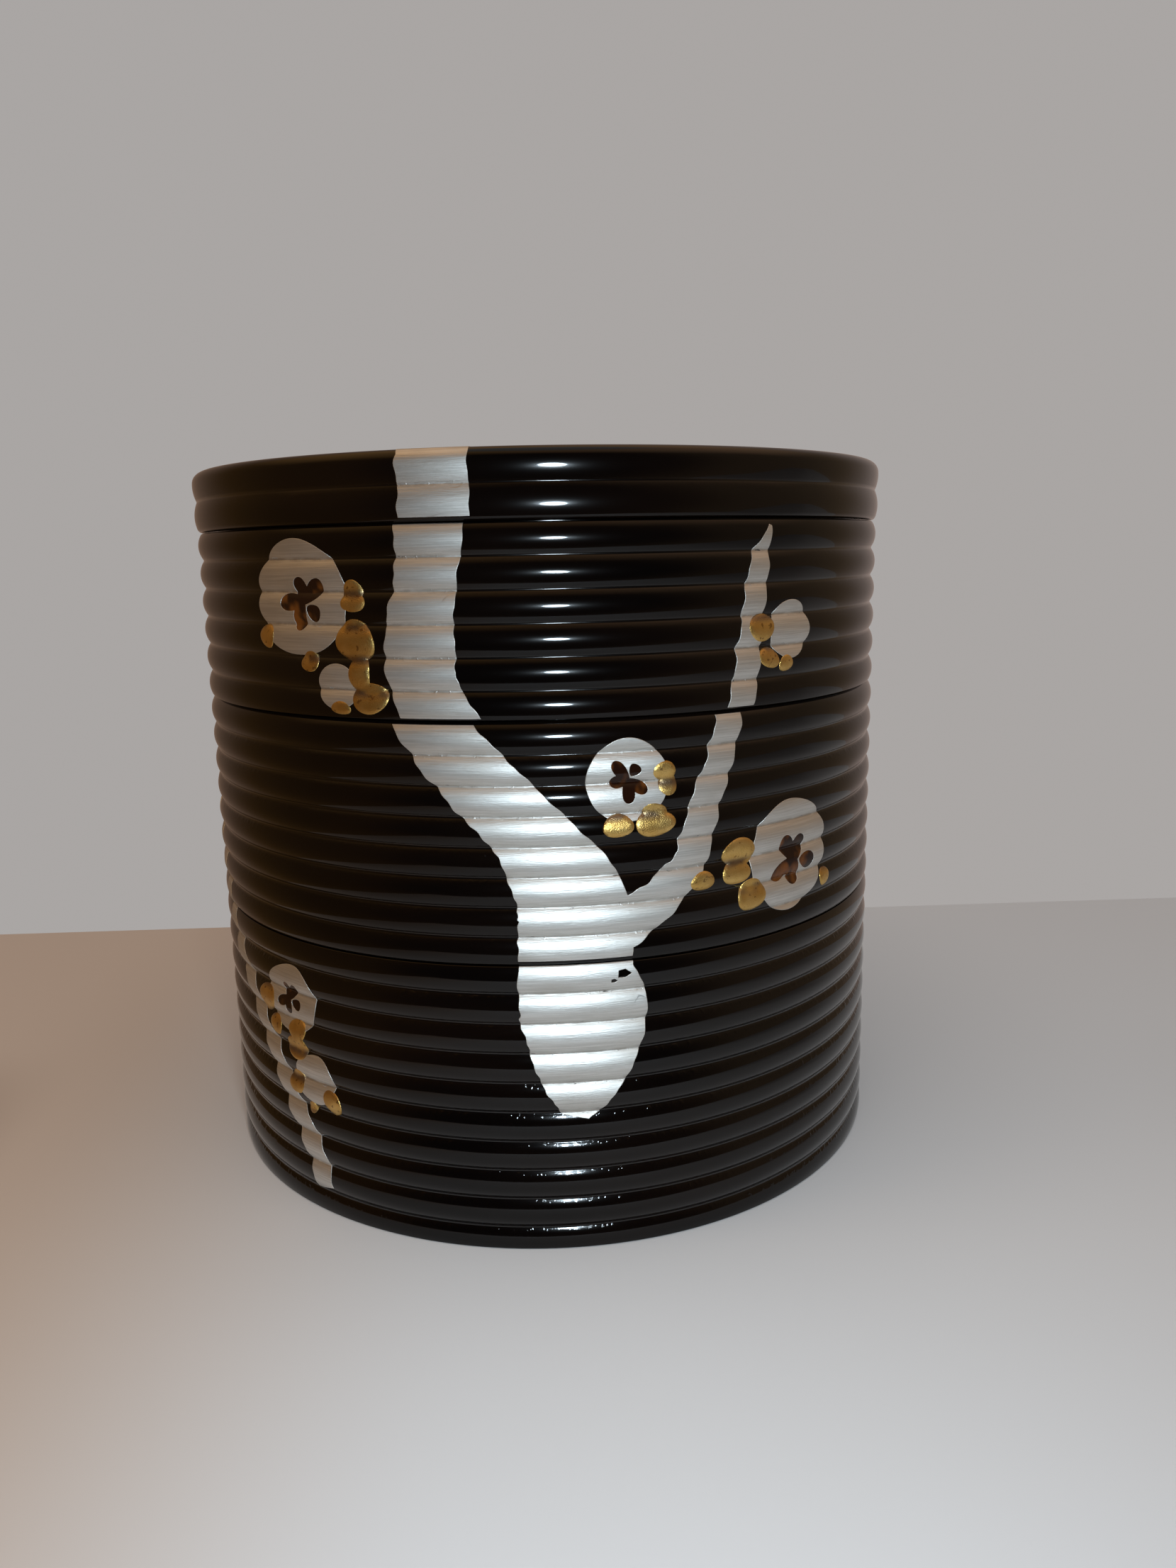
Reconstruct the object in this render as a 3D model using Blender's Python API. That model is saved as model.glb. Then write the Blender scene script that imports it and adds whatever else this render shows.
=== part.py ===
"""Round three-tier lacquer box with turned ribs and an overlapping lid.

Four turned wooden pieces stacked on one axis: the lower, middle and upper tier and the lid.
Each tier is an open cup. A spigot under the piece above drops into its mouth.
Metres, +Z up, origin in the middle of the underside.
"""
import math

import bmesh
import bpy

# Overall turning sizes
CREST_RADIUS = 0.1202
LID_OVERHANG = 0.0004
GROOVE_DEPTH = 0.0014
LID_GROOVE_DEPTH = 0.0011

# Ribs of each tier: how many, how tall, and how tall the first and the last one are at the tier's edges
LOWER_RIBS = 10
LOWER_RIB_PITCH = 0.00936
LOWER_FIRST_RIB = 0.0087
LOWER_LAST_RIB = 0.0068
MIDDLE_RIBS = 8
MIDDLE_RIB_PITCH = 0.00887
MIDDLE_FIRST_RIB = 0.0095
MIDDLE_LAST_RIB = 0.0086
UPPER_RIBS = 6
UPPER_RIB_PITCH = 0.0092
UPPER_FIRST_RIB = 0.0088
UPPER_LAST_RIB = 0.0085

# Lid: lower rib over the joint, upper rib that rolls over into the top, and the crown of the top
LID_LOWER_RIB = 0.0101
LID_UPPER_RIB = 0.0094
LID_ROLL_RADIUS = 0.0036
LID_CROWN = 0.0022
LID_TOP_THICKNESS = 0.0052
LID_SKIRT = 0.0060

# Walls, floors and edges
WALL = 0.0056
FLOOR = 0.0060
INSIDE_FILLET = 0.0030
EDGE_INSET = 0.0026
EDGE_ROUND = 0.0009
FOOT_WIDTH = 0.0110
FOOT_RECESS = 0.0015

# How one piece sits in the next
SPIGOT_DEPTH = 0.0045
SPIGOT_CLEARANCE = 0.0005
SEAT_GAP = 0.0003

# Facets of the turned surfaces
SIDES = 40
CHORDS_PER_RIB = 3
# Rings are drawn a little wide, so that a faceted ring holds as much as the true circle
FACET_GROWTH = math.sqrt((2 * math.pi / SIDES) / math.sin(2 * math.pi / SIDES))

# Worked out from the sizes above
LID_CREST_RADIUS = CREST_RADIUS + LID_OVERHANG
BORE_RADIUS = CREST_RADIUS - GROOVE_DEPTH - WALL
SPIGOT_RADIUS = BORE_RADIUS - SPIGOT_CLEARANCE
LOWER_TOP = LOWER_FIRST_RIB + (LOWER_RIBS - 2) * LOWER_RIB_PITCH + LOWER_LAST_RIB
MIDDLE_TOP = (LOWER_TOP + MIDDLE_FIRST_RIB + (MIDDLE_RIBS - 2) * MIDDLE_RIB_PITCH
              + MIDDLE_LAST_RIB)
UPPER_TOP = MIDDLE_TOP + UPPER_FIRST_RIB + (UPPER_RIBS - 2) * UPPER_RIB_PITCH + UPPER_LAST_RIB


def clear_scene():
    """Remove every object of the open file."""
    for item in list(bpy.data.objects):
        bpy.data.objects.remove(item, do_unlink=True)


def lacquer(name, colour, roughness):
    """A glossy lacquer, plain in colour."""
    material = bpy.data.materials.new(name)
    material.use_nodes = True
    shader = material.node_tree.nodes["Principled BSDF"]
    shader.inputs["Base Color"].default_value = (*colour, 1.0)
    shader.inputs["Roughness"].default_value = roughness
    shader.inputs["Metallic"].default_value = 0.0
    material.diffuse_color = (*colour, 1.0)
    return material


def rib_swell(height, pitch, depth):
    """How far inside the crest an arc rib lies at a height above or below its middle."""
    half = pitch / 2
    arc_radius = (half * half + depth * depth) / (2 * depth)
    return arc_radius - math.sqrt(arc_radius * arc_radius - height * height)


def rib_points(crest, top, bottom, middle, pitch, depth):
    """Points on one rib between its top and bottom, from the top down, without the ends."""
    points = []
    for step in range(1, CHORDS_PER_RIB):
        z = top + (bottom - top) * step / CHORDS_PER_RIB
        points.append((crest - rib_swell(z - middle, pitch, depth), z))
    return points


def ribbed_wall(top, bottom, ribs, pitch, first):
    """Outer side of a tier from its upper edge to its lower edge.

    The two ribs at the edges keep the arc of a whole rib, hung from the groove that they share
    with the next one.
    """
    grooves = [top - first - pitch * index for index in range(ribs - 1)]
    ends = [top] + grooves + [bottom]
    middles = [grooves[0] + pitch / 2] + [groove - pitch / 2 for groove in grooves]
    points = [
        (CREST_RADIUS - EDGE_INSET, top),
        (CREST_RADIUS - EDGE_INSET + EDGE_ROUND, top - EDGE_ROUND / 3),
    ]
    for high, low, middle in zip(ends, ends[1:], middles):
        points += rib_points(CREST_RADIUS, high, low, middle, pitch, GROOVE_DEPTH)
        if low > bottom:
            points.append((CREST_RADIUS - GROOVE_DEPTH, low))
    points.append((CREST_RADIUS - EDGE_INSET + EDGE_ROUND, bottom + EDGE_ROUND / 3))
    points.append((CREST_RADIUS - EDGE_INSET, bottom))
    return points


def inside_of_cup(floor, top):
    """Inside of a tier from the middle of its floor up to its mouth."""
    return [
        (0.0, floor),
        (BORE_RADIUS - INSIDE_FILLET, floor),
        (BORE_RADIUS - INSIDE_FILLET * (1 - math.sin(math.pi / 4)),
         floor + INSIDE_FILLET * (1 - math.cos(math.pi / 4))),
        (BORE_RADIUS, floor + INSIDE_FILLET),
        (BORE_RADIUS, top),
    ]


def foot_underside():
    """Underside of the lower tier: a flat foot ring round a shallow turned recess."""
    inner = CREST_RADIUS - EDGE_INSET - FOOT_WIDTH
    return [
        (inner, 0.0),
        (inner - FOOT_RECESS, FOOT_RECESS),
        (0.0, FOOT_RECESS),
    ]


def spigot_underside(bottom):
    """Underside of a tier that drops into the mouth of the tier below."""
    return [
        (SPIGOT_RADIUS, bottom),
        (SPIGOT_RADIUS, bottom - SPIGOT_DEPTH),
        (0.0, bottom - SPIGOT_DEPTH),
    ]


def lid_profile(seat):
    """Lid from the middle of its top, down the outside, and back up the inside."""
    groove = seat + LID_LOWER_RIB
    top = groove + LID_UPPER_RIB
    crest = LID_CREST_RADIUS
    depth = LID_GROOVE_DEPTH
    shoulder = crest - LID_ROLL_RADIUS
    points = [
        (0.0, top + LID_CROWN),
        (shoulder * 0.55, top + LID_CROWN * (1 - 0.55 ** 2)),
        (shoulder - 0.001, top),
    ]
    for degrees in (65, 35, 5):
        turn = math.radians(degrees)
        points.append((shoulder + LID_ROLL_RADIUS * math.cos(turn),
                       top - LID_ROLL_RADIUS * (1 - math.sin(turn))))
    points.append((crest - depth * 0.25, groove + LID_UPPER_RIB * 0.27))
    points.append((crest - depth, groove))
    points += rib_points(crest, groove, seat, groove - LID_LOWER_RIB / 2, LID_LOWER_RIB, depth)
    points.append((crest - depth * 0.6, seat + 2 * EDGE_ROUND))
    points.append((crest - EDGE_INSET + EDGE_ROUND / 2, seat + EDGE_ROUND / 3))
    points.append((crest - EDGE_INSET, seat))
    ceiling = top - LID_TOP_THICKNESS
    inside = SPIGOT_RADIUS - LID_SKIRT
    points += [
        (SPIGOT_RADIUS, seat),
        (SPIGOT_RADIUS, seat - SPIGOT_DEPTH),
        (inside, seat - SPIGOT_DEPTH),
        (inside, ceiling - INSIDE_FILLET),
        (inside - INSIDE_FILLET, ceiling),
        (0.0, ceiling + LID_CROWN),
    ]
    return points


def turned(name, profile, material):
    """Spin a profile, given from the axis or a rim all the way round, into one closed body."""
    mesh = bpy.data.meshes.new(name)
    body = bmesh.new()
    rings = []
    for radius, z in profile:
        if radius == 0.0:
            rings.append([body.verts.new((0.0, 0.0, z))])
            continue
        wide = radius * FACET_GROWTH
        ring = []
        for side in range(SIDES):
            turn = 2 * math.pi * side / SIDES
            ring.append(body.verts.new((wide * math.cos(turn), wide * math.sin(turn), z)))
        rings.append(ring)
    for here, there in zip(rings, rings[1:] + rings[:1]):
        if len(here) == 1 and len(there) == 1:
            continue
        for side in range(SIDES):
            after = (side + 1) % SIDES
            corners = [here[side % len(here)], there[side % len(there)]]
            if len(there) > 1:
                corners.append(there[after])
            if len(here) > 1:
                corners.append(here[after])
            body.faces.new(corners)
    bmesh.ops.recalc_face_normals(body, faces=body.faces)
    body.to_mesh(mesh)
    body.free()
    mesh.shade_smooth()
    mesh.set_sharp_from_angle(angle=math.radians(28))
    mesh.materials.append(material)
    piece = bpy.data.objects.new(name, mesh)
    bpy.context.scene.collection.objects.link(piece)
    return piece


def lower_tier(material):
    """The deepest tier, which stands on its own foot ring."""
    wall = ribbed_wall(LOWER_TOP, 0.0, LOWER_RIBS, LOWER_RIB_PITCH, LOWER_FIRST_RIB)
    profile = wall + foot_underside() + inside_of_cup(FOOT_RECESS + FLOOR, LOWER_TOP)
    return turned("lower_tier", profile, material)


def stacked_tier(name, seat, top, ribs, pitch, first, material):
    """A tier that sits on the one below, with its spigot in that tier's mouth."""
    bottom = seat + SEAT_GAP
    wall = ribbed_wall(top, bottom, ribs, pitch, first)
    floor = bottom - SPIGOT_DEPTH + FLOOR
    return turned(name, wall + spigot_underside(bottom) + inside_of_cup(floor, top), material)


def lid(material):
    """The lid, whose skirt ring drops into the mouth of the upper tier."""
    return turned("lid", lid_profile(UPPER_TOP + SEAT_GAP), material)


clear_scene()
black = lacquer("black_lacquer", (0.012, 0.009, 0.008), 0.12)
lower_tier(black)
stacked_tier("middle_tier", LOWER_TOP, MIDDLE_TOP, MIDDLE_RIBS, MIDDLE_RIB_PITCH, MIDDLE_FIRST_RIB,
             lacquer("black_lacquer_middle", (0.013, 0.010, 0.009), 0.12))
stacked_tier("upper_tier", MIDDLE_TOP, UPPER_TOP, UPPER_RIBS, UPPER_RIB_PITCH, UPPER_FIRST_RIB,
             lacquer("black_lacquer_upper", (0.014, 0.011, 0.009), 0.12))
lid(lacquer("black_lacquer_lid", (0.015, 0.012, 0.010), 0.12))
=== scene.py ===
"""A round food box of three lacquered tiers and a lid, with a plum tree in silver and gold on its side.

Sizes are in millimetres until a mesh is made. The wall's own coordinates are along, the distance round
the side from the middle of the front towards +X, and up, the height above the table.
"""
import math

import bpy
import numpy as np
from mathutils import Matrix, Vector
from mathutils.geometry import delaunay_2d_cdt


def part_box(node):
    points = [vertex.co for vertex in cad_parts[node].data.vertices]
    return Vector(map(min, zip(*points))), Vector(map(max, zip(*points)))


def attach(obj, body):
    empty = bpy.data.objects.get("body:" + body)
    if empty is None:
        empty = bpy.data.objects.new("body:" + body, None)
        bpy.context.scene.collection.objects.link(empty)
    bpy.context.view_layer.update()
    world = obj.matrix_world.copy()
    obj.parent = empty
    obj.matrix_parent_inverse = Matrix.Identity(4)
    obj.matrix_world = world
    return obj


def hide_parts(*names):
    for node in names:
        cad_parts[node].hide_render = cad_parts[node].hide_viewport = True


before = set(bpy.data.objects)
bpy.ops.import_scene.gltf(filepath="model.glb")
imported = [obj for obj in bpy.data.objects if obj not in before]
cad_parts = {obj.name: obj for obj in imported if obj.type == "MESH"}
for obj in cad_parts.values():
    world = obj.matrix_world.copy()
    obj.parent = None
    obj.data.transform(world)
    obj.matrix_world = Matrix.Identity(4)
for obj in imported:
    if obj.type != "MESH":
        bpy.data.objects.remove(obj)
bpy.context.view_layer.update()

# The lower tier is the deepest of the four turned pieces and stands on its own foot ring.
# It is wood, turned with ribs outside and a plain bore inside, then lacquered black and
# polished until it mirrors the table.
MM = 0.001
CREST = 120.2
# The arcs of two ribs alone would meet this deep, and the tool's nose leaves the groove shallower
GROOVE_DEPTH = 1.56
TOOL_NOSE = 0.7
BRIM_ROUND = 0.6
# The brim's rounding stops a little short of level
BRIM_END = math.radians(88)
BORE = 113.2
FLOOR = 6.0
FLOOR_RING = BORE * 0.6
INSIDE_FILLET = 3.0
EDGE_BEVEL = 0.5
FOOT_WIDTH = 11.0
FOOT_RECESS = 1.5
FOOT_BEVEL_WIDTH = 0.4
FOOT_BEVEL_HEIGHT = 0.3
LOWER_PITCH = 9.36
LOWER_FIRST = 8.7
LOWER_RIBS = 10

# How finely the turned pieces are drawn
SEGMENTS = 288
ROW = 0.8
ROW_ON_TOP = 4 * ROW
LEAST_ROW = 0.02
ROUND_STEPS = 6
NOSE_MARKS = (-1.35, -1.0, -0.5, 0.0, 0.5, 1.0, 1.35)
TURNED_SHARP = math.radians(50)


class RibbedWall:
    """The outside of one turned piece: arcs between grooves that the tool's nose has rounded.

    A point on it is named by up. From the brim's rounding on, up goes on along the surface, over
    the brim and in across the top.
    """

    def __init__(self, crest, depth, pitch, first_groove, grooves, bottom, top, brim, foot, crown=0.0):
        self.crest = crest
        self.pitch = pitch
        self.arc = (pitch * pitch / 4 + depth * depth) / (2 * depth)
        self.nose = pitch / 2 * TOOL_NOSE / (self.arc + TOOL_NOSE)
        self.grooves = [first_groove - pitch * index for index in range(grooves)]
        self.top = top
        self.bottom = bottom
        self.brim = brim
        self.foot = foot
        self.crown = crown
        # The brim and the foot are rounded by circles that touch the arcs of the ribs there
        high = top - brim - self.grooves[0] - pitch / 2
        self.brim_centre = crest - self.arc + math.sqrt((self.arc - brim) ** 2 - high * high)
        self.brim_turn = math.asin(high / (self.arc - brim))
        self.brim_start = top - brim + brim * math.sin(self.brim_turn)
        low = bottom + foot - self.grooves[-1] + pitch / 2
        self.foot_centre = crest - self.arc + math.sqrt((self.arc - foot) ** 2 - low * low)
        self.foot_start = bottom + foot + foot * low / (self.arc - foot)
        self.brim_length = brim * (BRIM_END - self.brim_turn)
        self.over = self.brim_start + self.brim_length

    def radius(self, up):
        """Radius of the side at a height, below the brim's rounding."""
        if up < self.foot_start:
            drop = min(self.foot, self.bottom + self.foot - up)
            return self.foot_centre + math.sqrt(self.foot * self.foot - drop * drop)
        away = min(abs(up - groove) for groove in self.grooves)
        if away < self.nose:
            reach = self.pitch / 2 - self.nose
            edge = self.crest - self.arc + math.sqrt(self.arc ** 2 - reach ** 2)
            return (edge + math.sqrt(TOOL_NOSE ** 2 - self.nose ** 2)
                    - math.sqrt(TOOL_NOSE ** 2 - away ** 2))
        reach = self.pitch / 2 - away
        return self.crest - self.arc + math.sqrt(self.arc ** 2 - reach ** 2)

    def point(self, up):
        """Radius and height of the wall at up, and the radial and upright parts of its normal."""
        if up <= self.brim_start:
            step = 0.02
            slope = (self.radius(up + step) - self.radius(up - step)) / (2 * step)
            length = math.hypot(1.0, slope)
            return self.radius(up), up, 1 / length, -slope / length
        if up <= self.over:
            turn = self.brim_turn + (up - self.brim_start) / self.brim
            return (self.brim_centre + self.brim * math.cos(turn),
                    self.top - self.brim + self.brim * math.sin(turn), math.cos(turn), math.sin(turn))
        rim = self.brim_centre
        radius = max(rim - (up - self.over), 0.0)
        slope = 2 * self.crown * radius / (rim * rim)
        length = math.hypot(1.0, slope)
        return radius, self.top + self.crown * (1 - (radius / rim) ** 2), slope / length, 1 / length

    def place(self, along, up, height=0.0):
        """The point in space, in millimetres, at a place on the wall and a height above it."""
        radius, z, out, rise = self.point(up)
        turn = along / CREST
        reach = radius + height * out
        return (reach * math.sin(turn), -reach * math.cos(turn), z + height * rise)

    def levels(self, low, high):
        """Heights of the rows between two heights, close together where the wall bends most."""
        marks = [low, high, self.foot_start]
        marks += [groove + self.nose * share for groove in self.grooves for share in NOSE_MARKS]
        marks += [self.brim_start + self.brim_length * step / ROUND_STEPS
                  for step in range(ROUND_STEPS + 1)]
        marks += [self.bottom + self.foot * (1 - math.cos(step * math.pi / (2 * ROUND_STEPS)))
                  for step in range(1, ROUND_STEPS)]
        marks = sorted(mark for mark in marks if low <= mark <= high)
        rows = marks[:1]
        for mark in marks[1:]:
            start = rows[-1]
            if mark - start < LEAST_ROW:
                continue
            count = math.ceil((mark - start) / (ROW if mark < self.over + 1 else ROW_ON_TOP))
            rows += [start + (mark - start) * step / count for step in range(1, count + 1)]
        return rows

    def outline(self):
        """Radius and height of the outside from the brim down to the lower edge."""
        return [self.point(up)[:2] for up in reversed(self.levels(self.bottom, self.over))]


def piece_from(name, points, faces, finish):
    """A smooth mesh piece from points in millimetres."""
    mesh = bpy.data.meshes.new(name)
    mesh.from_pydata([(x * MM, y * MM, z * MM) for x, y, z in points], [], faces)
    mesh.shade_smooth()
    mesh.materials.append(finish.material)
    piece = bpy.data.objects.new(name, mesh)
    bpy.context.scene.collection.objects.link(piece)
    return piece


def turned(name, profile, finish):
    """Spin a closed profile, given down the outside and back up the inside, into one body."""
    points = []
    rings = []
    for radius, z in profile:
        count = SEGMENTS if radius > 0 else 1
        rings.append([len(points) + index for index in range(count)])
        for index in range(count):
            turn = 2 * math.pi * index / SEGMENTS
            points.append((radius * math.cos(turn), radius * math.sin(turn), z))
    faces = []
    for here, there in zip(rings, rings[1:] + rings[:1]):
        if len(here) == len(there) == 1:
            continue
        for index in range(SEGMENTS):
            after = (index + 1) % SEGMENTS
            corners = [here[index % len(here)], there[index % len(there)]]
            if len(there) > 1:
                corners.append(there[after])
            if len(here) > 1:
                corners.append(here[after])
            faces.append(corners)
    piece = piece_from(name, points, faces, finish)
    piece.data.set_sharp_from_angle(angle=TURNED_SHARP)
    return piece


def inside_of_cup(floor, top):
    """Inside of a tier from the middle of its floor up to its mouth."""
    profile = [(0.0, floor), (FLOOR_RING, floor)]
    for step in range(ROUND_STEPS + 1):
        turn = math.pi / 2 * step / ROUND_STEPS
        profile.append((BORE - INSIDE_FILLET * (1 - math.sin(turn)),
                        floor + INSIDE_FILLET * (1 - math.cos(turn))))
    return profile + [(BORE, top - EDGE_BEVEL), (BORE + EDGE_BEVEL, top)]


class Channel:
    """A shader socket that takes part in sums as a number does."""

    def __init__(self, nodes, socket):
        self.nodes = nodes
        self.socket = socket

    def sum(self, operation, first, second=0.0):
        return self.nodes.node("ShaderNodeMath", {"operation": operation}, {0: first, 1: second})

    def __add__(self, other):
        return self.sum("ADD", self, other)

    def __radd__(self, other):
        return self.sum("ADD", other, self)

    def __sub__(self, other):
        return self.sum("SUBTRACT", self, other)

    def __rsub__(self, other):
        return self.sum("SUBTRACT", other, self)

    def __mul__(self, other):
        return self.sum("MULTIPLY", self, other)

    def __rmul__(self, other):
        return self.sum("MULTIPLY", other, self)

    def __truediv__(self, other):
        return self.sum("DIVIDE", self, other)

    def __rtruediv__(self, other):
        return self.sum("DIVIDE", other, self)

    def __abs__(self):
        return self.sum("ABSOLUTE", self)

    def rise(self, low, high):
        """0 below low, 1 above high, and smooth between; low above high turns it round."""
        step = self.nodes.node("ShaderNodeMapRange", {"interpolation_type": "SMOOTHSTEP"},
                               {"Value": self, "From Min": min(low, high), "From Max": max(low, high)})
        return 1 - step if low > high else step


class Nodes:
    """A shader's nodes, written as expressions."""

    def __init__(self, tree):
        self.tree = tree

    def put(self, socket, value):
        """Link a channel to a socket, or give the socket a constant."""
        if isinstance(value, Channel):
            self.tree.links.new(value.socket, socket)
        elif isinstance(value, tuple) and len(value) == 3 and socket.type == "RGBA":
            socket.default_value = (*value, 1.0)
        else:
            socket.default_value = value

    def node(self, kind, settings, sockets, output=0):
        """Add a node: its settings first, then the values or links of its sockets."""
        node = self.tree.nodes.new(kind)
        for setting, value in settings.items():
            setattr(node, setting, value)
        for socket, value in sockets.items():
            self.put(node.inputs[socket], value)
        return Channel(self, node.outputs[output])

    def coordinate(self, axis, kind="Object"):
        """How far along an axis the shaded place lies, in metres; of the world, its direction."""
        where = self.node("ShaderNodeTexCoord", {}, {}, kind)
        return self.node("ShaderNodeSeparateXYZ", {}, {0: where}, axis)

    def blend(self, share, first, second):
        """A colour between two others."""
        return self.node("ShaderNodeMix", {"data_type": "RGBA"}, {0: share, 6: first, 7: second}, 2)


class Finish(Nodes):
    """The material of one finish."""

    def __init__(self, name, colour, roughness, metallic=0.0, **constant):
        self.material = bpy.data.materials.new(name)
        self.material.use_nodes = True
        super().__init__(self.material.node_tree)
        self.shader = self.tree.nodes["Principled BSDF"]
        self.set("Base Color", colour)
        self.set("Roughness", roughness)
        self.set("Metallic", metallic)
        for socket, value in constant.items():
            self.set(socket.replace("_", " "), value)

    def set(self, socket, value):
        """Link or set one of the shader's own sockets."""
        self.put(self.shader.inputs[socket], value)

    def grain(self, stretch, detail=2.0, offset=0.0):
        """Noise from 0 to 1, with so many waves per metre along each axis."""
        where = self.node("ShaderNodeTexCoord", {}, {}, "Object")
        where = self.node("ShaderNodeVectorMath", {"operation": "MULTIPLY"}, {0: where, 1: stretch})
        where = self.node("ShaderNodeVectorMath", {"operation": "ADD"}, {0: where, 1: (offset,) * 3})
        return self.node("ShaderNodeTexNoise", {}, {"Vector": where, "Scale": 1.0, "Detail": detail})

    def relief(self, height):
        """Raise the surface by a height in metres, as bump."""
        bump = self.node("ShaderNodeBump", {}, {"Strength": 1.0, "Distance": 1.0, "Height": height})
        self.set("Normal", bump)

    def groove_mask(self, wall, width, below=0.0):
        """1 at the bottom of each groove or a little below it, falling to 0 at width to either side."""
        pitch = wall.pitch * MM
        count = len(wall.grooves)
        turns = (self.coordinate(2) + (below - wall.grooves[-1] * MM)) / pitch
        off = abs(turns - turns.sum("ROUND", turns)) * pitch
        inside = turns.rise(-0.5, -0.3) * turns.rise(count - 0.5, count - 0.7)
        return off.rise(width, 0.0) * inside


def black_lacquer(name, wall, blister, haze, blur=0.19, mirror=1.27):
    """Deep black-brown lacquer, polished by hand. The grooves stay hazy, with small blisters below."""
    finish = Finish(name, (0.002, 0.001, 0.0008), 0.05, IOR=mirror,
                    Coat_Roughness=blur, Coat_IOR=1.36)
    finish.set("Coat Weight", haze + finish.groove_mask(wall, 0.0009) * 0.6)
    cloud = finish.grain((9, 9, 30), 3.0)
    finish.set("Base Color", finish.blend(cloud.rise(0.35, 0.75), (0.0010, 0.0006, 0.0005),
                                          (0.0036, 0.0018, 0.0011)))
    dust = finish.grain((620, 620, 620), 1.0, 3.0).rise(0.80, 0.86)
    smear = finish.grain((24, 24, 70), 3.0, 7.0)
    finish.set("Roughness", 0.035 + smear * 0.04 + dust * 0.3)
    below = finish.groove_mask(wall, 0.0014, 0.0008)
    sway = finish.grain((40, 40, 110), 1.0, 1.0) * 1.6e-4
    blisters = finish.grain((720, 720, 250), 1.0, 5.0).rise(0.45, 0.78) * below * blister
    finish.relief(sway + blisters + dust * 2e-5)
    return finish


lower_low, lower_high = (corner[2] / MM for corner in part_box("lower_tier"))
lower_wall = RibbedWall(CREST, GROOVE_DEPTH, LOWER_PITCH, lower_high - LOWER_FIRST, LOWER_RIBS - 1,
                        lower_low, lower_high, BRIM_ROUND, BRIM_ROUND)
foot_inside = lower_wall.foot_centre - FOOT_WIDTH
lower_profile = lower_wall.outline() + [
    (foot_inside + FOOT_BEVEL_WIDTH, 0.0),
    (foot_inside, FOOT_BEVEL_HEIGHT),
    (foot_inside - FOOT_RECESS, FOOT_RECESS),
    (BORE / 2, FOOT_RECESS),
    (0.0, FOOT_RECESS),
] + inside_of_cup(FOOT_RECESS + FLOOR, lower_high)
lower_lacquer = black_lacquer("lower_lacquer", lower_wall, 0.95e-4, 0.34, blur=0.14, mirror=1.30)
lower_tier = turned("lower_tier_body", lower_profile, lower_lacquer)
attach(lower_tier, "root")
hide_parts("lower_tier")

# The middle and the upper tier are turned and lacquered like the lower one. Under each a spigot,
# a plain step in the underside, drops into the mouth of the tier below and keeps it in place.
SPIGOT = 112.7
SPIGOT_DEPTH = 4.5
MIDDLE_PITCH = 8.87
MIDDLE_FIRST = 9.5
MIDDLE_RIBS = 8
UPPER_PITCH = 9.2
UPPER_FIRST = 8.8
UPPER_RIBS = 6


def stacked_tier(name, node, pitch, first, ribs, blister, haze):
    """A tier that sits on another one, and its wall."""
    spigot_bottom, high = (corner[2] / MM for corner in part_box(node))
    low = spigot_bottom + SPIGOT_DEPTH
    wall = RibbedWall(CREST, GROOVE_DEPTH, pitch, high - first, ribs - 1, low, high,
                      BRIM_ROUND, BRIM_ROUND)
    profile = wall.outline() + [
        (SPIGOT, low),
        (SPIGOT, spigot_bottom + EDGE_BEVEL),
        (SPIGOT - EDGE_BEVEL, spigot_bottom),
        (BORE / 2, spigot_bottom),
        (0.0, spigot_bottom),
    ] + inside_of_cup(spigot_bottom + FLOOR, high)
    tier = turned(name, profile, black_lacquer(name + "_lacquer", wall, blister, haze))
    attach(tier, "root")
    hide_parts(node)
    return wall


middle_wall = stacked_tier("middle_tier_body", "middle_tier", MIDDLE_PITCH, MIDDLE_FIRST, MIDDLE_RIBS,
                           0.4e-4, 0.28)
upper_wall = stacked_tier("upper_tier_body", "upper_tier", UPPER_PITCH, UPPER_FIRST, UPPER_RIBS,
                          0.15e-4, 0.24)

# The lid is a shallow turned cap with two ribs, the upper one rolled over into a slightly crowned
# top. A skirt ring inside it drops into the mouth of the upper tier.
LID_CREST = 120.6
LID_GROOVE_DEPTH = 1.1
LID_RIB = 10.1
LID_ROLL = 3.6
LID_LIP = 2.0
LID_CROWN = 2.2
LID_TOP_THICKNESS = 5.2
LID_SKIRT = 6.0
LID_TOP_RINGS = 10
FILLET_MIDDLE = INSIDE_FILLET * 0.3
skirt_bottom, crown_top = (corner[2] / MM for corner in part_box("lid"))
lid_seat = skirt_bottom + SPIGOT_DEPTH
lid_edge = crown_top - LID_CROWN
lid_wall = RibbedWall(LID_CREST, LID_GROOVE_DEPTH, LID_RIB, lid_seat + LID_RIB, 1, lid_seat, lid_edge,
                      LID_ROLL, LID_LIP, LID_CROWN)
lid_top = [lid_wall.point(lid_wall.over + lid_wall.brim_centre * ring / LID_TOP_RINGS)[:2]
           for ring in range(LID_TOP_RINGS, 0, -1)]
lid_top[0] = (0.0, crown_top)
skirt_inside = SPIGOT - LID_SKIRT
lid_ceiling = lid_edge - LID_TOP_THICKNESS
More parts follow.
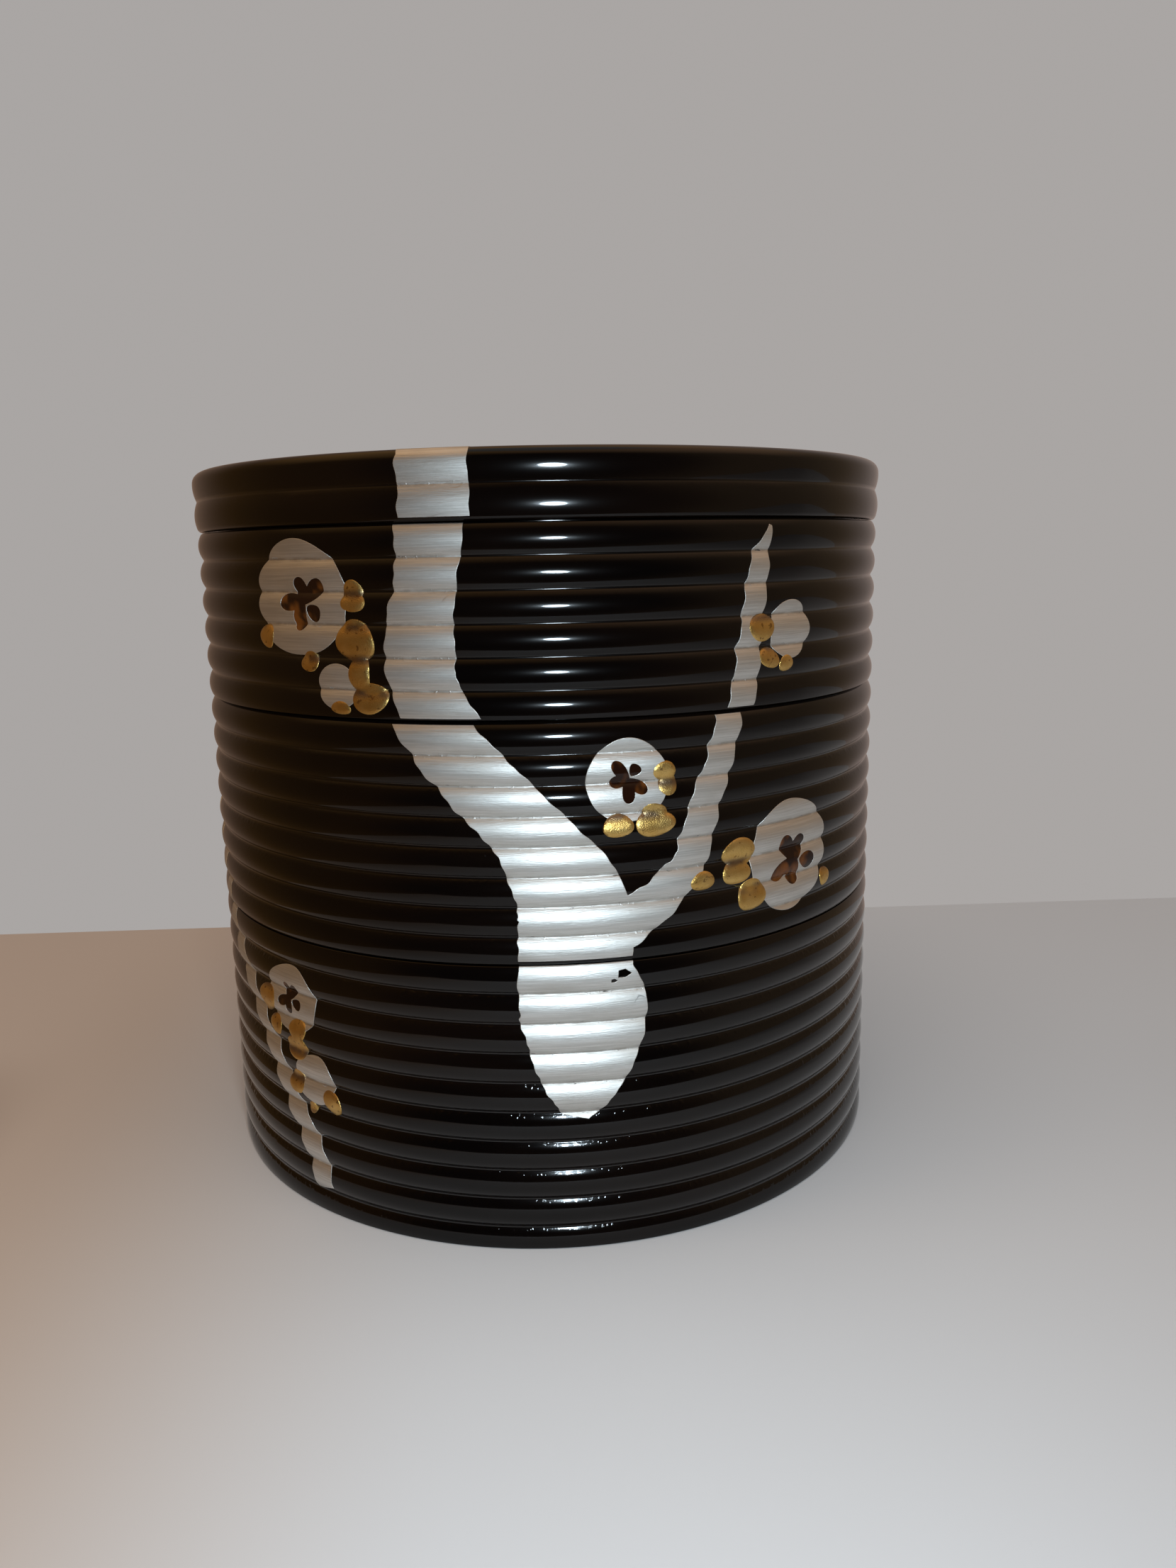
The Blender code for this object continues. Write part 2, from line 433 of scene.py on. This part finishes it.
lid_profile = lid_top + lid_wall.outline() + [
    (SPIGOT, lid_seat),
    (SPIGOT, skirt_bottom + EDGE_BEVEL),
    (SPIGOT - EDGE_BEVEL, skirt_bottom),
    (skirt_inside + EDGE_BEVEL, skirt_bottom),
    (skirt_inside, skirt_bottom + EDGE_BEVEL),
    (skirt_inside, lid_ceiling - INSIDE_FILLET),
    (skirt_inside - FILLET_MIDDLE, lid_ceiling - FILLET_MIDDLE),
    (skirt_inside - INSIDE_FILLET, lid_ceiling),
    (skirt_inside / 2, lid_ceiling + LID_CROWN * (1 - 0.5 ** 2)),
    (0.0, lid_ceiling + LID_CROWN),
]
lid_body = turned("lid_body", lid_profile, black_lacquer("lid_lacquer", lid_wall, 0.15e-4, 0.33, 0.17))
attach(lid_body, "root")
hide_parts("lid")

# The trunk and the great branch are silver leaf laid in the lacquer, thin but with an edge that
# can be felt. The branch ends near the upper tier's brim, and the trunk goes on across the lid.
# Two flakes have come off just under the lowest joint.
LEAF = 0.10
LEAF_EDGE = 0.14
# The leaf's under side lies just inside the wall
LEAF_BED = -0.04
SHOULDER_REACH = 0.55
SHOULDER_HEIGHT = 0.62
QUICK_WAVE = 0.2
SLOW_WAVE = 0.25
RIGHT_WAVE = 0.6
FULL_WAVE_WIDTH = 6.0
FLAKE_CORNERS = 5
FLAKES = [(21, 87, 4), (18, 85, 2)]

# How finely the leaf is drawn
LEAF_STEP = 0.8
EDGE_STEP = 1.5 * LEAF_STEP
LEAST_GAP = 0.05
LEAF_COLUMN = 2.4
GRID_MARGIN = 0.5
# The triangulation keeps what lies inside the outlines and joins points that are this close
KEEP_INSIDE = 1
WELD = 1e-4
LAID_SHARP = math.radians(20)


def smooth(points, step):
    """A curve through points, as close points along it."""
    points = [Vector(point) for point in points]
    ends = [points[0] * 2 - points[1]] + points + [points[-1] * 2 - points[-2]]
    curve = []
    for before, start, end, after in zip(ends, ends[1:], ends[2:], ends[3:]):
        count = max(1, round((end - start).length / step))
        for index in range(count):
            t = index / count
            curve.append((start * 2 + (end - before) * t
                          + (before * 2 - start * 5 + end * 4 - after) * t * t
                          + (start * 3 - before - end * 3 + after) * t ** 3) / 2)
    return curve + [points[-1]]


def closed(*runs):
    """One outline from runs of points, with corners where the runs meet."""
    corners = [point for run in runs for point in run]
    outline = []
    for start, end in zip(corners, corners[1:] + corners[:1]):
        gap = (end - start).length
        if gap < LEAST_GAP:
            continue
        count = max(1, round(gap / EDGE_STEP))
        outline += [start.lerp(end, index / count) for index in range(count)]
    return outline


def area(outline):
    """The area inside an outline, below zero where it runs clockwise."""
    return sum(a.cross(b) for a, b in zip(outline, outline[1:] + outline[:1])) / 2


def flat_patch(wall, outlines, openings, column, guides=()):
    """Points and triangles that fill outlines on the unrolled wall, save for the openings, the edges
    round them, and the way out from each corner of those edges."""
    loops = [loop if area(loop) > 0 else loop[::-1] for loop in (*outlines, *openings)]
    points = []
    loop_faces = []
    for loop in loops:
        loop_faces.append([len(points) + index for index in range(len(loop))])
        points += loop
    corners = [point for outline in outlines for point in outline]
    low, high = (pick(point.y for point in corners) for pick in (min, max))
    left, right = (pick(point.x for point in corners) for pick in (min, max))
    edges = []
    for guide in guides:
        first = len(points)
        points += guide
        edges += [(first + index, first + (index + 1) % len(guide)) for index in range(len(guide))]
    count = math.ceil((right - left) / column) + 1
    reach = right - left + 2 * GRID_MARGIN
    for up in wall.levels(low, high)[1:-1]:
        edges += [(len(points) + index, len(points) + index + 1) for index in range(count)]
        points += [Vector((left - GRID_MARGIN + reach * index / count, up)) for index in range(count + 1)]
    flat, _, faces, _, _, owners = delaunay_2d_cdt(points, edges, loop_faces, KEEP_INSIDE, WELD)
    wanted = set(range(len(outlines)))
    faces = [tuple(face) for face, owner in zip(faces, owners) if owner and set(owner) <= wanted]
    used = sorted({corner for face in faces for corner in face})
    number = {corner: index for index, corner in enumerate(used)}
    faces = [tuple(number[corner] for corner in face) for face in faces]
    spots = [flat[corner] for corner in used]
    rims = {}
    for face in faces:
        for start, end in zip(face, face[1:] + face[:1]):
            if (end, start) in rims:
                del rims[end, start]
            else:
                rims[start, end] = True
    outward = {}
    for start, end in rims:
        along = spots[end] - spots[start]
        normal = Vector((along.y, -along.x)).normalized()
        for corner in (start, end):
            outward[corner] = outward.get(corner, Vector((0, 0))) + normal
    return spots, faces, list(rims), outward


def leaf_patch(wall, outlines, openings=(), thick=LEAF, edge=LEAF_EDGE):
    """Points and faces of thin leaf that follows the ribs, closed under and rounded at its edge."""
    spots, faces, rims, outward = flat_patch(wall, outlines, openings, LEAF_COLUMN)
    body = [wall.place(spot.x, spot.y, thick) for spot in spots]
    bed = [wall.place(spot.x, spot.y, LEAF_BED) for spot in spots]
    rings = []
    for reach, height in ((edge * SHOULDER_REACH, thick * SHOULDER_HEIGHT), (edge, LEAF_BED)):
        ring = {}
        for corner, normal in outward.items():
            spot = spots[corner] + normal.normalized() * reach
            ring[corner] = len(body)
            body.append(wall.place(spot.x, spot.y, height))
        rings.append(ring)
    under = {corner: len(body) + corner for corner in range(len(spots))}
    sheet = [tuple(under[corner] for corner in face[::-1]) for face in faces]
    for start, end in rims:
        for upper, lower in zip(({start: start, end: end}, *rings), (*rings, under)):
            faces.append((upper[end], upper[start], lower[start], lower[end]))
    return body + bed, faces + sheet


def laid(name, finish, patches):
    """One piece from patches that lie on the same box."""
    points = []
    faces = []
    for body, triangles in patches:
        faces += [tuple(corner + len(points) for corner in triangle) for triangle in triangles]
        points += body
    piece = piece_from(name, points, faces, finish)
    piece.data.set_sharp_from_angle(angle=LAID_SHARP)
    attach(piece, "root")


def silver(name, wall):
    """Silver leaf rubbed along the ribs, satin, with a few scratches and grime in the grooves."""
    finish = Finish(name, (0.62, 0.61, 0.58), 0.45, 1.0)
    rubbed = finish.grain((60, 60, 2600), 3.0)
    cloud = finish.grain((70, 70, 110), 3.0, 4.0)
    groove = finish.groove_mask(wall, 0.0009)
    grime = finish.grain((260, 260, 900), 3.0, 9.0)
    flecks = grime.rise(0.66, 0.70) * groove
    lines = abs(finish.grain((130, 130, 130), 0.0, 12.0) - 0.5).rise(0.010, 0.0)
    scratches = lines * finish.grain((60, 60, 60), 1.0, 15.0).rise(0.60, 0.70)
    tone = finish.blend(rubbed.rise(0.3, 0.7), (0.60, 0.59, 0.56), (0.74, 0.73, 0.70))
    tone = finish.blend(cloud.rise(0.35, 0.8) * 0.35, tone, (0.50, 0.47, 0.42))
    tone = finish.blend(grime.rise(0.3, 0.6) * groove * 0.45, tone, (0.30, 0.25, 0.20))
    finish.set("Base Color", finish.blend(flecks, tone, (0.03, 0.022, 0.018)))
    finish.set("Metallic", 1 - flecks)
    finish.set("Roughness", 0.46 + cloud * 0.1 - flecks * 0.3 - scratches * 0.2)
    brushed = finish.grain((300, 300, 5200), 1.0, 21.0) * 0.5e-4
    specks = finish.grain((900, 900, 1100), 1.0, 27.0).rise(0.60, 0.72) * groove * 6e-5
    finish.relief(rubbed * 0.4e-4 + brushed + finish.grain((800, 800, 1300), 2.0, 2.0) * 2.5e-5
                  + specks - flecks * 3e-5)
    return finish


def ribbon(path, shift=0.0, step=LEAF_STEP):
    """Outline of a winding strip of leaf, from its middle and its width at a few places."""
    spine = smooth([(along + shift, up, wide) for along, up, wide in path], step)
    left = []
    right = []
    for index, here in enumerate(spine):
        run = spine[min(index + 1, len(spine) - 1)] - spine[max(index - 1, 0)]
        side = Vector((-run.y, run.x)).normalized()
        wave = QUICK_WAVE * math.sin(index * 0.9) + SLOW_WAVE * math.sin(index * 0.37 + 1)
        wave *= min(here.z / FULL_WAVE_WIDTH, 1.0)
        left.append(here.xy + side * (here.z / 2 + wave))
        right.append(here.xy - side * (here.z / 2 - wave * RIGHT_WAVE))
    return closed(left, right[::-1])


def between(outline, low, high):
    """The part of an outline between two heights, as the joints cut it."""
    for edge, keep in ((low, 1), (high, -1)):
        kept = []
        for start, end in zip(outline, outline[1:] + outline[:1]):
            inside = (start.y - edge) * keep >= 0
            if inside:
                kept.append(start)
            if inside != ((end.y - edge) * keep >= 0):
                kept.append(start.lerp(end, (edge - start.y) / (end.y - start.y)))
        outline = kept
    return closed(outline)


def flake(along, up, across):
    """A small place with sharp corners, where leaf has come off."""
    corners = []
    for index in range(FLAKE_CORNERS):
        turn = 2 * math.pi * index / FLAKE_CORNERS
        reach = across / 2 * (1 + 0.25 * math.cos(2.4 * index))
        corners.append(Vector((along + reach * math.cos(turn), up + 0.9 * reach * math.sin(turn))))
    return closed(corners)


# Each path goes up the whole box: along, up and width. The upper tier and the lid stand turned a
# little on what is below them, so the picture steps sideways at their joints.
UPPER_STEP = 4.0
LID_STEP = 6.0
TRUNK = [(6, 43, 8), (7, 48, 17), (8, 56, 27), (9, 66, 34), (9, 76, 38), (7, 88, 34), (7, 100, 33),
         (5, 112, 31), (-6, 130, 22), (-18, 143, 21), (-31, 158, 20), (-38, 171, 20), (-39, 182, 21),
         (-38, 192, 19), (-36, 203, 18), (-35, 215, 20), (-35, 228, 20), (-35, 242, 20)]
BRANCH = [(14, 98, 14), (24, 103, 14), (35, 111, 12), (42, 119, 11), (47, 135, 10), (53, 151, 9),
          (57, 170, 9), (60, 190, 8), (62, 203, 7), (66, 214, 1)]

# The leaf starts a little above each lower edge, and ends below the brim or goes on over it
LEAF_START = 1.4
UPPER_START = 0.7
LID_START = 1.5
ONTO_BRIM = 0.4
BELOW_BRIM = 0.95
ONTO_LID = 4.0
lower_band = (lower_wall.bottom + LEAF_START, lower_wall.brim_start + ONTO_BRIM)
middle_band = (middle_wall.bottom + LEAF_START, middle_wall.top - BELOW_BRIM)
upper_band = (upper_wall.bottom + UPPER_START, upper_wall.brim_start + ONTO_BRIM)
lid_band = (lid_wall.bottom + LID_START, lid_wall.over + ONTO_LID)

lower_silver = silver("lower_silver", lower_wall)
middle_silver = silver("middle_silver", middle_wall)
upper_silver = silver("upper_silver", upper_wall)
lid_silver = silver("lid_silver", lid_wall)
laid("trunk_foot", lower_silver,
     [leaf_patch(lower_wall, [between(ribbon(TRUNK), *lower_band)], [flake(*place) for place in FLAKES])])
laid("trunk_and_branch", middle_silver,
     [leaf_patch(middle_wall, [between(ribbon(path), *middle_band) for path in (TRUNK, BRANCH)])])
laid("trunk_and_branch_tip", upper_silver,
     [leaf_patch(upper_wall, [between(ribbon(path, UPPER_STEP), *upper_band)])
      for path in (TRUNK, BRANCH)])


def onto_lid(outlines):
    """Outlines on the lid's top as seen in plan, moved to its unrolled wall."""
    rim = lid_wall.over + lid_wall.brim_centre
    return [[Vector((CREST * math.atan2(x, -y), rim - math.hypot(x, y))) for x, y in outline]
            for outline in outlines]


TOP_STEP = 2.0
TRUNK_ON_TOP = [(-28, -115, 20), (-27, -98, 18), (-29, -82, 16), (-37, -66, 14), (-46, -54, 9),
                (-54, -45, 1)]
laid("trunk_on_lid", lid_silver,
     [leaf_patch(lid_wall, [between(ribbon(TRUNK, LID_STEP), *lid_band),
                            *onto_lid([ribbon(TRUNK_ON_TOP, step=TOP_STEP)])])])

# A thinner branch rises from low on the left and goes round the side, silver like the trunk.
# It is cut square at its foot and thins out to a tip on the middle tier's left side.
THIN_BRANCH = [(-81, 8, 8), (-84, 18, 9), (-89, 27, 9), (-97, 38, 8), (-104, 49, 8), (-112, 59, 7),
               (-121, 70, 7), (-130, 79, 7), (-138, 90, 6), (-146, 101, 6), (-153, 112, 6),
               (-164, 126, 5), (-174, 138, 4), (-188, 154, 1)]
laid("low_branch", lower_silver,
     [leaf_patch(lower_wall, [between(ribbon(THIN_BRANCH), *lower_band)])])
laid("side_branch", middle_silver,
     [leaf_patch(middle_wall, [between(ribbon(THIN_BRANCH), *middle_band)])])

# The blossoms are silver leaf as well, round with five soft petals. In the middle of the open
# ones the stamens are left out of the silver, and red-brown lacquer shines there.
STAMENS = 5
STAMEN_POINTS = 26
STAMEN_HALF_WIDTH = 0.26
HEART = 0.03
HEART_EDGE = 0.05
LID_BLOSSOM = (-72.0, -52.0)
LID_BLOSSOM_SIZE = 26.0
LID_BLOSSOM_TURN = 0.5
LID_STAMENS = 6.4


def blossom_outline(centre, across, tall, turn):
    """Outline of one blossom, its petals no more than a soft swell."""
    outline = []
    steps = max(40, round(math.pi * across / LEAF_STEP))
    for index in range(steps):
        angle = 2 * math.pi * index / steps
        swell = 1 + 0.011 * math.cos(5 * (angle - turn)) + 0.014 * math.cos(3 * angle + 2 * turn)
        outline.append(Vector((centre[0] + across / 2 * swell * math.cos(angle),
                               centre[1] + tall / 2 * swell * math.sin(angle))))
    return outline


def stamens(centre, reach, turn, grow=0.0):
    """Five blunt stamens, each of its own length. Some run together in the middle."""
    loops = []
    for lobe in range(STAMENS):
        aim = turn + 2 * math.pi * lobe / STAMENS + 0.14 * math.sin(3 * lobe + turn)
        tip = reach * (0.90 + 0.14 * math.sin(2.3 * lobe + 4 * turn))
        root = reach * (0.22 if lobe == STAMENS - 1 else -0.14)
        loop = []
        for index in range(STAMEN_POINTS):
            angle = 2 * math.pi * index / STAMEN_POINTS
            out = (tip + root) / 2 + ((tip - root) / 2 + grow) * math.cos(angle)
            side = (reach * STAMEN_HALF_WIDTH + grow) * math.sin(angle) * (1 + 0.34 * math.cos(angle))
            loop.append(Vector((centre[0] + out * math.cos(aim) - side * math.sin(aim),
                                centre[1] + out * math.sin(aim) + side * math.cos(aim))))
        loops.append(loop)
    return loops


def red_brown(name):
    """Clear lacquer over a red-brown ground, nearly black where it is thick."""
    finish = Finish(name, (0.045, 0.012, 0.005), 0.1, IOR=1.30)
    cloud = finish.grain((140, 140, 110), 2.0, 2.0)
    finish.set("Base Color", finish.blend(cloud.rise(0.48, 0.66), (0.012, 0.004, 0.002),
                                          (0.12, 0.036, 0.006)))
    finish.set("Roughness", 0.06 + finish.grain((300, 300, 300)) * 0.08)
    return finish


stamen_lacquer = red_brown("stamen_lacquer")


def blossoms(name, wall, finish, flowers):
    """Blossoms on one tier: centre, width and height of each, and of an open one the middle of its
    stamens, their reach and their turn."""
    leaves = []
    hearts = []
    for centre, across, tall, *heart in flowers:
        outline = blossom_outline(centre, across, tall, centre[0])
        if not heart:
            leaves.append(leaf_patch(wall, [outline]))
            continue
        leaves.append(leaf_patch(wall, [outline], stamens(*heart)))
        hearts.append(leaf_patch(wall, stamens(*heart, LEAF_EDGE), (), HEART, HEART_EDGE))
    laid(name, finish, leaves)
    if hearts:
        laid(name + "_stamens", stamen_lacquer, hearts)


blossoms("upper_blossoms", upper_wall, upper_silver,
         [((-75, 196), 36, 33, (-73, 195), 9.6, 0.6), ((-62, 171), 14, 13), ((79, 184), 17, 17)])
blossoms("middle_blossoms", middle_wall, middle_silver,
         [((23, 144), 24, 24, (23, 144), 7.0, 2.1), ((81, 115), 35, 35, (82, 113), 10.6, 1.0)])
blossoms("lower_blossoms", lower_wall, lower_silver,
         [((-93, 70), 26, 22, (-93, 70), 6.7, 0.9), ((-83, 45), 18, 16)])
lid_outline = blossom_outline(LID_BLOSSOM, LID_BLOSSOM_SIZE, LID_BLOSSOM_SIZE, LID_BLOSSOM_TURN)
lid_openings = stamens(LID_BLOSSOM, LID_STAMENS, LID_BLOSSOM_TURN)
lid_hearts = stamens(LID_BLOSSOM, LID_STAMENS, LID_BLOSSOM_TURN, LEAF_EDGE)
laid("lid_blossom", lid_silver,
     [leaf_patch(lid_wall, onto_lid([lid_outline]), onto_lid(lid_openings))])
laid("lid_blossom_stamens", stamen_lacquer,
     [leaf_patch(lid_wall, onto_lid(lid_hearts), (), HEART, HEART_EDGE)])

# The buds are gold on a raised ground: soft drops half a millimetre high, some run into each other,
# their gold rubbed to a satin, grained like fine sand and browned in places.
BUD_RISE = 0.5
BUD_SINK = 0.03
BUD_SHOULDER = 2.0
BUD_RINGS = (0.12, 0.4, 0.9, 1.5)
BUD_COLUMN = 0.8
BUD_POINTS = 36
# A bud sags over a groove by a mean of the wall's radius above and below, in so many steps
SAG_STEP = 0.4
SAG_STEPS = 5


def gold(name, wall):
    """Gold rubbed to a satin, browned here and there, with painted dark reflections just under the
    grooves.
    """
    finish = Finish(name, (0.74, 0.48, 0.15), 0.35, 1.0)
    grain = finish.grain((3200, 3200, 3200), 1.0)
    cloud = finish.grain((190, 190, 190), 3.0, 6.0)
    worn = finish.grain((650, 650, 650), 2.0, 8.0).rise(0.62, 0.70)
    browned = finish.grain((110, 110, 110), 2.0, 11.0).rise(0.50, 0.66)
    tone = finish.blend(cloud.rise(0.3, 0.75), (0.62, 0.385, 0.11), (0.73, 0.50, 0.175))
    tone = finish.blend(browned * 0.4, tone, (0.42, 0.23, 0.07))
    # Painted reflection: patches just under the grooves are darkened to grey, standing in for the dark
    # room the gold would mirror there.
    dark_reflection_band = finish.groove_mask(wall, 0.0022, 0.0007)
    painted_dark_reflection = finish.grain((120, 120, 160), 2.0, 14.0).rise(0.36, 0.53) * dark_reflection_band
    tone = finish.blend(painted_dark_reflection * 0.8, tone, (0.15, 0.115, 0.10))
    finish.set("Base Color", finish.blend(worn * 0.7, tone, (0.20, 0.10, 0.035)))
    finish.set("Roughness", 0.30 + grain * 0.12 + browned * 0.10)
    finish.relief(grain * 9e-5 + cloud * 0.8e-4)
    return finish


def drop(x, y, across, tall, lean=0.0):
    """Outline of one drop, a little out of round."""
    outline = []
    for index in range(BUD_POINTS):
        angle = 2 * math.pi * index / BUD_POINTS
        swell = 1 + 0.04 * math.cos(3 * angle + x) + 0.03 * math.cos(2 * angle + y)
        out = across / 2 * swell * math.cos(angle)
        rise = tall / 2 * swell * math.sin(angle)
        outline.append(Vector((x + out * math.cos(lean) - rise * math.sin(lean),
                               y + out * math.sin(lean) + rise * math.cos(lean))))
    return outline


def inset(outline, depth):
    """An outline, which runs anticlockwise, moved inwards."""
    moved = []
    for before, here, after in zip(outline[-1:] + outline, outline, outline[1:] + outline[:1]):
        run = (after - before).normalized()
        moved.append(here + Vector((-run.y, run.x)) * depth)
    return moved


def sagging_radius(wall, up):
    """The wall's radius with its ribs smoothed, nearest heights counting most."""
    weights = {step: SAG_STEPS + 1 - abs(step) for step in range(-SAG_STEPS, SAG_STEPS + 1)}
    total = sum(weight * wall.radius(up + step * SAG_STEP) for step, weight in weights.items())
    return total / sum(weights.values())


def bud(wall, *drops):
    """Raised gold from drops that have run together, steep at the edge. Over the grooves it sags
    nearly as they do."""
    outlines = [drop(*place) for place in drops]
    guides = [inset(outline, depth) for outline in outlines for depth in BUD_RINGS]
    spots, faces, rims, _ = flat_patch(wall, outlines, (), BUD_COLUMN, guides)
    under = len(spots)
    sheet = [tuple(under + corner for corner in face[::-1]) for face in faces]
    faces += sheet + [(end, start, under + start, under + end) for start, end in rims]
    starts = np.array([spots[start] for start, _ in rims])
    runs = np.array([spots[end] for _, end in rims]) - starts
    points = []
    for spot in spots:
        off = np.array(spot) - starts
        share = np.clip((off * runs).sum(1) / (runs * runs).sum(1), 0, 1)
        inside = min(np.hypot(*(off - runs * share[:, None]).T).min() / BUD_SHOULDER, 1.0)
        dome = math.sqrt(1 - (1 - inside) ** 2)
        radius = wall.radius(spot.y)
        radius += (BUD_RISE + sagging_radius(wall, spot.y) - radius) * dome - BUD_SINK
        turn = spot.x / CREST
        points.append((radius * math.sin(turn), -radius * math.cos(turn), spot.y))
    return points + [wall.place(spot.x, spot.y, 2 * LEAF_BED) for spot in spots], faces


# Each bud is one drop or a few that touch: along, up, width, height and, in radians, lean.
UPPER_BUDS = [
    [(-55, 198, 7, 6), (-55, 195, 8, 6)],
    [(-55, 184, 13, 12), (-54, 175, 7, 12), (-51, 168, 12, 9)],
    [(-72, 178, 7, 6, 0.3)],
    [(-90, 185, 7, 7)],
    [(-61, 165, 7, 4)],
    [(67, 185, 10, 8, 0.1)],
    [(70, 176, 8, 6, -0.4)],
    [(77, 174, 6, 5)],
]
MIDDLE_BUDS = [
    [(34, 146, 7, 6), (35, 142, 6, 6)],
    [(20, 131, 9, 7)],
    [(31, 131, 12, 8), (31, 134, 8, 6)],
    [(46, 112, 8, 6)],
    [(59, 119, 12, 9), (58, 113, 10, 8)],
    [(64, 105, 11, 10)],
    [(99, 104, 6, 6)],
]
LOWER_BUDS = [
    [(-107, 67, 11, 9, 0.4)],
    [(-102, 59, 7, 7)],
    [(-90, 60, 9, 7), (-91, 54, 11, 8)],
    [(-92, 42, 8, 8)],
    [(-85, 35, 4, 4)],
    [(-75, 39, 7, 9, 0.5)],
]
for tier, wall, buds in (("upper", upper_wall, UPPER_BUDS), ("middle", middle_wall, MIDDLE_BUDS),
                         ("lower", lower_wall, LOWER_BUDS)):
    laid(tier + "_buds", gold(tier + "_gold", wall), [bud(wall, *drops) for drops in buds])

# The studio is a pale table with painted warm light and painted shade on it, of which the lacquer
# mirrors only the part round the box, before a plain wall. What is glossy mirrors a warm room instead
# of the wall. One small lamp stands beside the lens, and soft light comes from above and from the left.
TABLE_FRONT = -305.0
TABLE_LEFT = -200.0
TABLE_BACK = 205.0
TABLE_SPAN = 3000.0
PLAIN_WALL = (0.40, 0.38, 0.37)


def pale_table(name, left, front, right, back, seen_in_gloss):
    """One part of the table's top, with painted warm light to the left and painted shade in front at both
    ends.
    """
    finish = Finish(name, (0.60, 0.57, 0.56), 0.85)
    across = finish.coordinate(0)
    deep = finish.coordinate(1)
    # Painted light and shade: the warm tone to the left is painted lamplight, and the darker far left
    # front and right front are painted shade.
    tone = finish.blend(across.rise(-0.20, -0.02), (0.50, 0.385, 0.305), (0.61, 0.60, 0.60))
    painted_shade = across.rise(-0.19, -0.26) * deep.rise(0.05, -0.05)
    tone = finish.blend(across.rise(0.20, 0.40) * deep.rise(0.05, -0.08), tone, (0.46, 0.45, 0.45))
    finish.set("Base Color", finish.blend(painted_shade, tone, (0.24, 0.16, 0.11)))
    corners = [(left, front, 0.0), (right, front, 0.0), (right, back, 0.0), (left, back, 0.0)]
    table = piece_from(name, corners, [(0, 1, 2, 3)], finish)
    table.visible_glossy = seen_in_gloss


pale_table("table", TABLE_LEFT, TABLE_FRONT, TABLE_SPAN, TABLE_BACK, True)
pale_table("table_in_front", TABLE_LEFT, -TABLE_SPAN, TABLE_SPAN, TABLE_FRONT, False)
pale_table("table_to_the_left", -TABLE_SPAN, -TABLE_SPAN, TABLE_LEFT, TABLE_BACK, False)

scene = bpy.context.scene
scene.view_settings.view_transform = "Standard"
world = bpy.data.worlds.new("studio")
world.use_nodes = True
scene.world = world
studio = Nodes(world.node_tree)
to_right, to_back, to_top = (studio.coordinate(axis, "Generated") for axis in range(3))
side = to_right.rise(-0.6, 0.6)
beside = studio.blend(side, (0.165, 0.084, 0.027), (0.26, 0.178, 0.110))
behind = studio.blend(side, (0.20, 0.125, 0.085), (0.33, 0.26, 0.23))
above = studio.blend(side, (0.85, 0.46, 0.16), (0.95, 0.57, 0.33))
room = studio.blend(to_back.rise(-0.85, -0.35), (0.025, 0.020, 0.020), beside)
room = studio.blend(to_back.rise(0.35, 0.80), room, behind)
room = studio.blend((abs(to_back) * -0.3 + to_top).rise(0.35, 0.85), room, above)
room = studio.blend(to_top.rise(0.90, 0.98), room, (0.55, 0.53, 0.50))
mirrored = studio.node("ShaderNodeLightPath", {}, {}, "Is Glossy Ray")
studio.put(studio.tree.nodes["Background"].inputs["Color"], studio.blend(mirrored, PLAIN_WALL, room))


def lamp(name, spot, aim, width, power, colour, in_gloss=True):
    """A round lamp at a spot, aimed at a point, with its width and its power in watts."""
    light = bpy.data.lights.new(name, "AREA")
    light.shape = "DISK"
    light.size = width * MM
    light.energy = power
    light.color = colour
    item = bpy.data.objects.new(name, light)
    item.location = Vector(spot) * MM
    item.rotation_euler = (Vector(aim) - Vector(spot)).to_track_quat("-Z", "Y").to_euler()
    item.visible_glossy = in_gloss
    scene.collection.objects.link(item)


lamp("lens_lamp", (26.5, -440, 190), (0, -60, 150), 54, 0.90, (0.74, 0.89, 1.0))
lamp("soft_top", (0, -300, 1300), (0, 0, 100), 1000, 3.6, (1.0, 0.94, 0.88), False)
lamp("soft_side", (-900, -300, 600), (0, 0, 100), 500, 1.2, (1.0, 0.70, 0.45), False)

# The camera stands at the photograph's place, close to the box and a little below the lid's top,
# and looks slightly down. Its turns are in radians, and its sensor's width belongs to the
# picture's long side.
FOCAL_PIXELS = 1625.8
PICTURE_HEIGHT = 2212
SENSOR = 36.0
CAMERA_PLACE = (0.0, -435.6, 207.6)
CAMERA_TO_RIGHT = 0.0362
CAMERA_DOWN = 0.1992
CAMERA_LEAN = -0.0202
camera_data = bpy.data.cameras.new("camera")
camera_data.sensor_width = SENSOR
camera_data.lens = FOCAL_PIXELS * SENSOR / PICTURE_HEIGHT
camera_data.clip_start = 0.01
camera = bpy.data.objects.new("camera", camera_data)
camera_turn = (Matrix.Rotation(-CAMERA_TO_RIGHT, 4, "Z")
               @ Matrix.Rotation(math.pi / 2 - CAMERA_DOWN, 4, "X")
               @ Matrix.Rotation(CAMERA_LEAN, 4, "Z"))
camera.matrix_world = Matrix.Translation(Vector(CAMERA_PLACE) * MM) @ camera_turn
scene.collection.objects.link(camera)
scene.camera = camera
